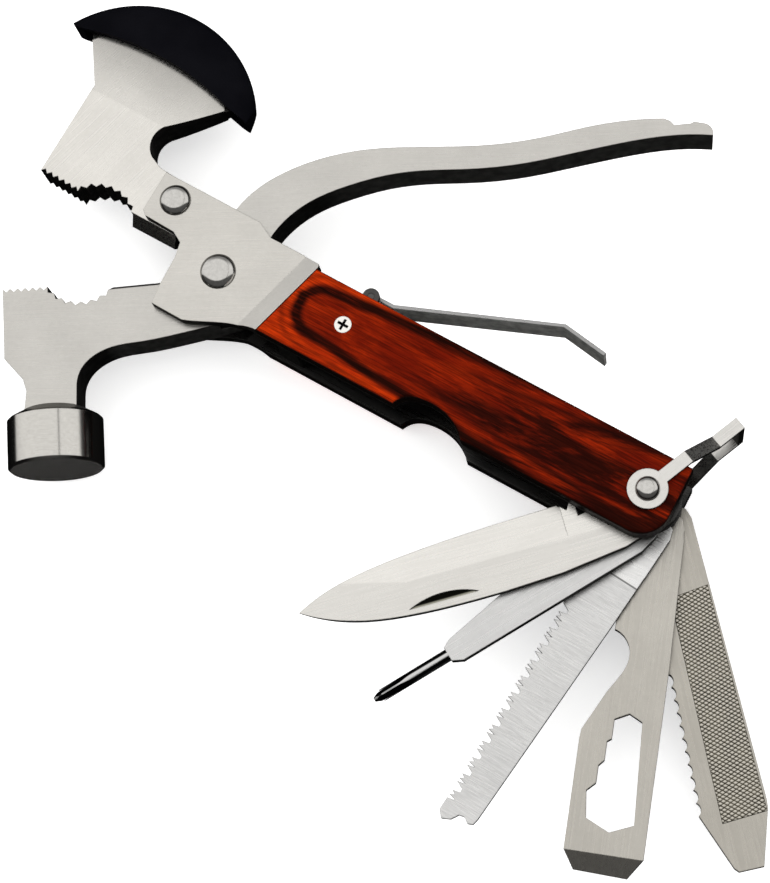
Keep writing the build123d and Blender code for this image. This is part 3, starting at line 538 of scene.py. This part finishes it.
def leaf_metal(graph, place, normal):
    """The leaf spring's sides are less metallic, which makes them dull and grey."""
    return graph.math("MULTIPLY_ADD", face_share(graph, normal), LEAF_FACE_GAIN, LEAF_SIDE_METAL)


def screw_cross_shade(graph, place, normal, body):
    """Painted shade: the floor of the screw's cross is dark."""
    depth = graph.math("ABSOLUTE", graph.math("SUBTRACT", graph.split(place)[2], MID_PLANE))
    inside = graph.spread(depth, SCREW_FLOOR, SCREW_FLOOR + 0.1 * MM, 1.0, 0.0)
    return graph.mix(inside, body, CROSS_PAINTED_SHADE)


def hammer_part(graph, place, normal):
    """1 on the turned hammer head, which is finished like a face all round."""
    reach = graph.math("SUBTRACT", graph.dot(place, HAMMER_AXIS), HINGES["plier_arm"].dot(HAMMER_AXIS))
    return graph.spread(reach, HAMMER_START - 0.2 * MM, HAMMER_START + 0.2 * MM)


def striking_face(graph, place, normal):
    """The hammer's flat end is a little less metallic than the rest, so that it isn't a plain mirror."""
    facing = graph.spread(graph.dot(normal, HAMMER_AXIS), 0.93, 0.99)
    return graph.math("SUBTRACT", 1.0, graph.math("MULTIPLY", facing, STRIKING_METAL_LOSS))


# Materials by piece

# Colour of the steel side faces: partly their rougher forged finish, partly painted shade.
FORGED_SIDE_AND_SHADE = grey(0.10, 0.05)
GREY_SIDE = colour(0.24, 0.24, 0.23)

finishes = {
    "axe_head": steel("axe_steel", grey(0.73, 0.07), FORGED_SIDE_AND_SHADE, 75.0, grain=0.05, extra=bevel_painted_light_and_shade),
    "hammer_plier_arm": steel(
        "arm_steel", grey(0.57, 0.07), FORGED_SIDE_AND_SHADE, ARM_OPEN - 4.0,
        side_where=hammer_part, metal_where=striking_face,
    ),
    "bolster": steel(
        "bolster_steel", grey(0.61, 0.08), FORGED_SIDE_AND_SHADE, 30.0,
        grain=0.06, side_where=bolster_band, side_rough=0.35, metal_where=bolster_metal,
    ),
    # The frame plates and inner pieces, mostly hidden between the scales, are painted near-black: painted
    # shade over their steel.
    "frame_plate": steel("frame_steel_painted_shade", grey(0.07), FORGED_SIDE_AND_SHADE, 0.0),
    "inner": steel("inner_steel_painted_shade", grey(0.09), FORGED_SIDE_AND_SHADE, 0.0),
    "bail": steel("bail_steel", grey(0.70, 0.05), FORGED_SIDE_AND_SHADE, 68.0, grain=0.05),
    "leaf": steel("leaf_steel", grey(0.34, 0.0), GREY_SIDE, 0.0, metal_where=leaf_metal),
    "knife_blade": steel(
        "knife_steel", grey(0.80, 0.06), FORGED_SIDE_AND_SHADE, opened("knife"),
        grain=0.04, patches=0.05, extra=knife_finish,
    ),
    "phillips_driver": steel(
        "driver_steel", grey(0.64, 0.0), FORGED_SIDE_AND_SHADE, opened("driver"), grain=0.05, extra=driver_flute_shade,
    ),
    "saw_blade": steel(
        "saw_steel", grey(0.78, 0.0), FORGED_SIDE_AND_SHADE, 90.0 - opened("saw"), grain=0.05, extra=saw_finish,
    ),
    "wrench_opener": steel("wrench_steel", grey(0.50, 0.12), FORGED_SIDE_AND_SHADE, opened("wrench"), grain=0.07),
    "file_scaler": steel("file_steel", grey(0.46, 0.14), FORGED_SIDE_AND_SHADE, opened("file"), grain=0.06),
    "screw": steel("screw_steel", grey(0.88, 0.06), FORGED_SIDE_AND_SHADE, 0.0, rough=(0.18, 0.26), extra=screw_cross_shade),
    "wood": wood("handle_wood_grain"),
    "rubber": rubber("guard_rubber_matte"),
}
for rivet in ("main_pivot_rivet", "jaw_rivet", "tail_rivet"):
    low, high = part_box(rivet)
    finishes[rivet] = polished(rivet + "_polish", grey(0.56, 0.05), (low + high) / 2)

KINDS = {
    "front_bolster": "bolster", "back_bolster": "bolster",
    "front_frame_plate": "frame_plate", "back_frame_plate": "frame_plate",
    "front_wood_scale": "wood", "back_wood_scale": "wood",
    "front_scale_screw": "screw", "back_scale_screw": "screw",
    "lock_bail": "bail", "leaf_spring": "leaf", "edge_guard": "rubber",
}
for name, node in nodes.items():
    finish = finishes.get(name) or finishes[KINDS.get(name, "inner")]
    for slot in node.material_slots:
        slot.material = finish


# The file's cross-cut teeth

HATCH_PITCH = 0.85 * MM
HATCH_STEP = 0.17 * MM
HATCH_LENGTH = 52 * MM  # this and the width set how many steps the grid has
HATCH_WIDTH = 11 * MM
HATCH_HIGH = 0.085 * MM
HATCH_SUNK = 0.05 * MM  # how far the sheet reaches into the blade
GROOVE_SHARE = 0.12  # height of a groove's floor, as a share of a tooth's
TOOTH_SHAPE = 0.7
BORDER_SHARE = 0.1  # height at the border, as a share of that inside
HATCH_CORNERS = ((22.8, 0.2), (21.6, -9.2), (76.3, -9.7), (77.0, 1.1))  # along and across the blade, mm
HATCH_CUTS = (-24.0, 40.0)  # degrees from square across the blade
# The grooves are darker the deeper they lie, with a mottled tone.
GROOVE_MOTTLE_SCALE = 260.0
GROOVE_DEEP_TONE = colour(0.045, 0.039, 0.025)
GROOVE_MOTTLE_TONE = colour(0.11, 0.098, 0.065)


def hatch_steel(name, face):
    """The file's cut teeth: lighter crests, and grooves darker by their depth, with a mottled tone."""
    material, graph = new_material(name)
    place = graph.add("ShaderNodeTexCoord").outputs["Object"]
    depth = graph.math("SUBTRACT", graph.split(place)[2], face)
    groove_mottle = graph.noise(place, GROOVE_MOTTLE_SCALE, 3.0)
    crest = graph.spread(depth, 0.35 * HATCH_HIGH, 0.85 * HATCH_HIGH)
    groove = graph.mix(graph.spread(groove_mottle, 0.35, 0.7), GROOVE_DEEP_TONE, GROOVE_MOTTLE_TONE)
    graph.put(graph.shader.inputs["Base Color"], graph.mix(crest, groove, grey(0.62, 0.16)))
    graph.put(graph.shader.inputs["Roughness"], graph.spread(crest, 0.0, 1.0, 0.6, 0.32))
    graph.shader.inputs["Metallic"].default_value = 1.0
    graph.bump(0.2, FINE_RELIEF, groove_mottle)
    return material


def tooth_height(x, y):
    """Height of the teeth at a place along and across the blade: diamonds between crossing grooves."""
    top = 1.0
    for angle in HATCH_CUTS:
        turn = math.radians(angle)
        phase = (x * math.cos(turn) + y * math.sin(turn)) / HATCH_PITCH
        top = min(top, abs(math.sin(math.pi * phase)) ** TOOTH_SHAPE)
    return HATCH_HIGH * (GROOVE_SHARE + (1 - GROOVE_SHARE) * top)


def hatch_grid(mesh, rows, columns, raised):
    """A grid of vertices over the hatch: the teeth when raised, otherwise a flat one inside the blade."""
    pivot, along, across = blade_axes("file")
    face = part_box("file_scaler")[1].z
    corners = [Vector((x * MM, y * MM)) for x, y in HATCH_CORNERS]
    grid = []
    for row in range(rows + 1):
        line = []
        for column in range(columns + 1):
            side = column / columns
            start = corners[0].lerp(corners[1], side)
            end = corners[3].lerp(corners[2], side)
            x, y = start.lerp(end, row / rows)
            inside = min(row, rows - row, column, columns - column) > 0
            rise = tooth_height(x, y) * (1.0 if inside else BORDER_SHARE) if raised else -HATCH_SUNK
            point = pivot + along * x + across * y
            line.append(mesh.verts.new((point.x, point.y, face + rise)))
        grid.append(line)
    return grid


def hatch_border(mesh, low, top):
    """Faces that close the sheet between its two grids."""
    for row in range(len(low) - 1):
        mesh.faces.new([low[row][0], top[row][0], top[row + 1][0], low[row + 1][0]])
        mesh.faces.new([top[row][-1], low[row][-1], low[row + 1][-1], top[row + 1][-1]])
    for column in range(len(low[0]) - 1):
        mesh.faces.new([top[0][column], low[0][column], low[0][column + 1], top[0][column + 1]])
        mesh.faces.new([low[-1][column], top[-1][column], top[-1][column + 1], low[-1][column + 1]])


def file_hatch():
    """A thin closed sheet on the file's front face, raised into rows of crossing teeth."""
    rows = round(HATCH_LENGTH / HATCH_STEP)
    columns = round(HATCH_WIDTH / HATCH_STEP)
    mesh = bmesh.new()
    low = hatch_grid(mesh, rows, columns, raised=False)
    top = hatch_grid(mesh, rows, columns, raised=True)
    for layer, grid in enumerate((low, top)):
        for here, after in zip(grid, grid[1:]):
            for column in range(columns):
                ring = [here[column], here[column + 1], after[column + 1], after[column]]
                mesh.faces.new(ring if layer else ring[::-1])
    hatch_border(mesh, low, top)
    bmesh.ops.recalc_face_normals(mesh, faces=mesh.faces)
    data = bpy.data.meshes.new("file_hatch")
    mesh.to_mesh(data)
    mesh.free()
    piece = bpy.data.objects.new("file_hatch", data)
    bpy.context.scene.collection.objects.link(piece)
    data.materials.append(hatch_steel("hatch_steel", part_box("file_scaler")[1].z))
    for polygon in data.polygons:
        polygon.use_smooth = True
    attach(piece, "file")


file_hatch()

# Floor, light and camera

FLOOR_HALF = 3.0
FLOOR_GAP = 0.05 * MM
FLOOR_SCALE = 6.0
FLOOR_GLOW = 0.45


def add_floor():
    """A pale floor just under the object, which glossy rays don't see."""
    data = bpy.data.meshes.new("floor")
    edge = FLOOR_HALF
    corners = [(-edge, -edge, 0), (edge, -edge, 0), (edge, edge, 0), (-edge, edge, 0)]
    data.from_pydata(corners, [], [(0, 1, 2, 3)])
    floor = bpy.data.objects.new("floor", data)
    floor.location = (CENTRE.x, CENTRE.y, cad_low.z - FLOOR_GAP)
    floor.visible_glossy = False
    bpy.context.scene.collection.objects.link(floor)
    material, graph = new_material("pale_floor")
    place = graph.add("ShaderNodeTexCoord").outputs["Object"]
    faint = graph.noise(place, FLOOR_SCALE, 2.0)
    graph.put(graph.shader.inputs["Base Color"], graph.mix(faint, grey(0.90, 0.0), grey(0.92, 0.0)))
    graph.shader.inputs["Roughness"].default_value = 0.9
    graph.shader.inputs["Specular IOR Level"].default_value = 0.0
    graph.shader.inputs["Emission Color"].default_value = grey(1.0, 0.0)
    graph.shader.inputs["Emission Strength"].default_value = FLOOR_GLOW
    data.materials.append(material)


PANEL_LEFT, PANEL_RIGHT = math.radians(-105), math.radians(72)
PANEL_LOW, PANEL_HIGH = math.radians(6), math.radians(50)
PANEL_SOFT = math.radians(9)  # width of the panel's soft borders
ABOVE_PANEL = 0.25  # share of the panel's light that is left above it
SEAM = math.radians(15)
SEAM_HALF = math.radians(1.6)
SEAM_LIGHT = 0.05
ROOM_LOW, ROOM_HIGH = 0.008, 0.12  # the dim room's light, from the floor to overhead


def add_studio():
    """A wide softbox with a dark seam, and a dim room round it, drawn in the world's own light."""
    world = bpy.data.worlds.new("studio")
    bpy.context.scene.world = world
    graph = Graph(world, "ShaderNodeOutputWorld")
    way = graph.add("ShaderNodeTexCoord").outputs["Generated"]
    aside = graph.math("ARCTAN2", graph.dot(way, view_right), graph.dot(way, view_back))
    rise = graph.math("ARCSINE", graph.dot(way, view_up))
    half = PANEL_SOFT / 2
    off = graph.math("ABSOLUTE", graph.math("SUBTRACT", aside, SEAM))
    level = graph.spread(aside, PANEL_LEFT - half, PANEL_LEFT + half)
    for share in (
        graph.spread(aside, PANEL_RIGHT - half, PANEL_RIGHT + half, 1.0, 0.0),
        graph.spread(rise, PANEL_LOW - half, PANEL_LOW + half),
        graph.spread(rise, PANEL_HIGH - PANEL_SOFT, PANEL_HIGH + 2 * PANEL_SOFT, 1.0, ABOVE_PANEL),
        graph.spread(off, SEAM_HALF / 2, SEAM_HALF * 1.5, SEAM_LIGHT, 1.0),
    ):
        level = graph.math("MULTIPLY", level, share)
    room = graph.spread(graph.split(way)[2], -0.1, 0.5, ROOM_LOW, ROOM_HIGH)
    level = graph.math("ADD", level, room)
    back = graph.add("ShaderNodeBackground", {"Color": colour(1.0, 0.99, 0.97), "Strength": level})
    graph.tree.links.new(back.outputs[0], graph.output.inputs["Surface"])


FILL_ENERGY = 2.6
FILL_ANGLE = math.radians(150)
FILL_LEAN = 0.35  # from the camera's direction towards the top of its view


def add_fill():
    """A very wide light from above for wood, rubber and floor. Steel doesn't mirror it."""
    data = bpy.data.lights.new("fill", "SUN")
    data.energy = FILL_ENERGY
    data.angle = FILL_ANGLE
    light = bpy.data.objects.new("fill", data)
    light.rotation_mode = "QUATERNION"
    light.rotation_quaternion = (view_back + view_up * FILL_LEAN).to_track_quat("Z", "Y")
    light.visible_glossy = False
    bpy.context.scene.collection.objects.link(light)


add_floor()
add_studio()
add_fill()
add_camera()
bpy.context.scene.view_settings.view_transform = "Standard"
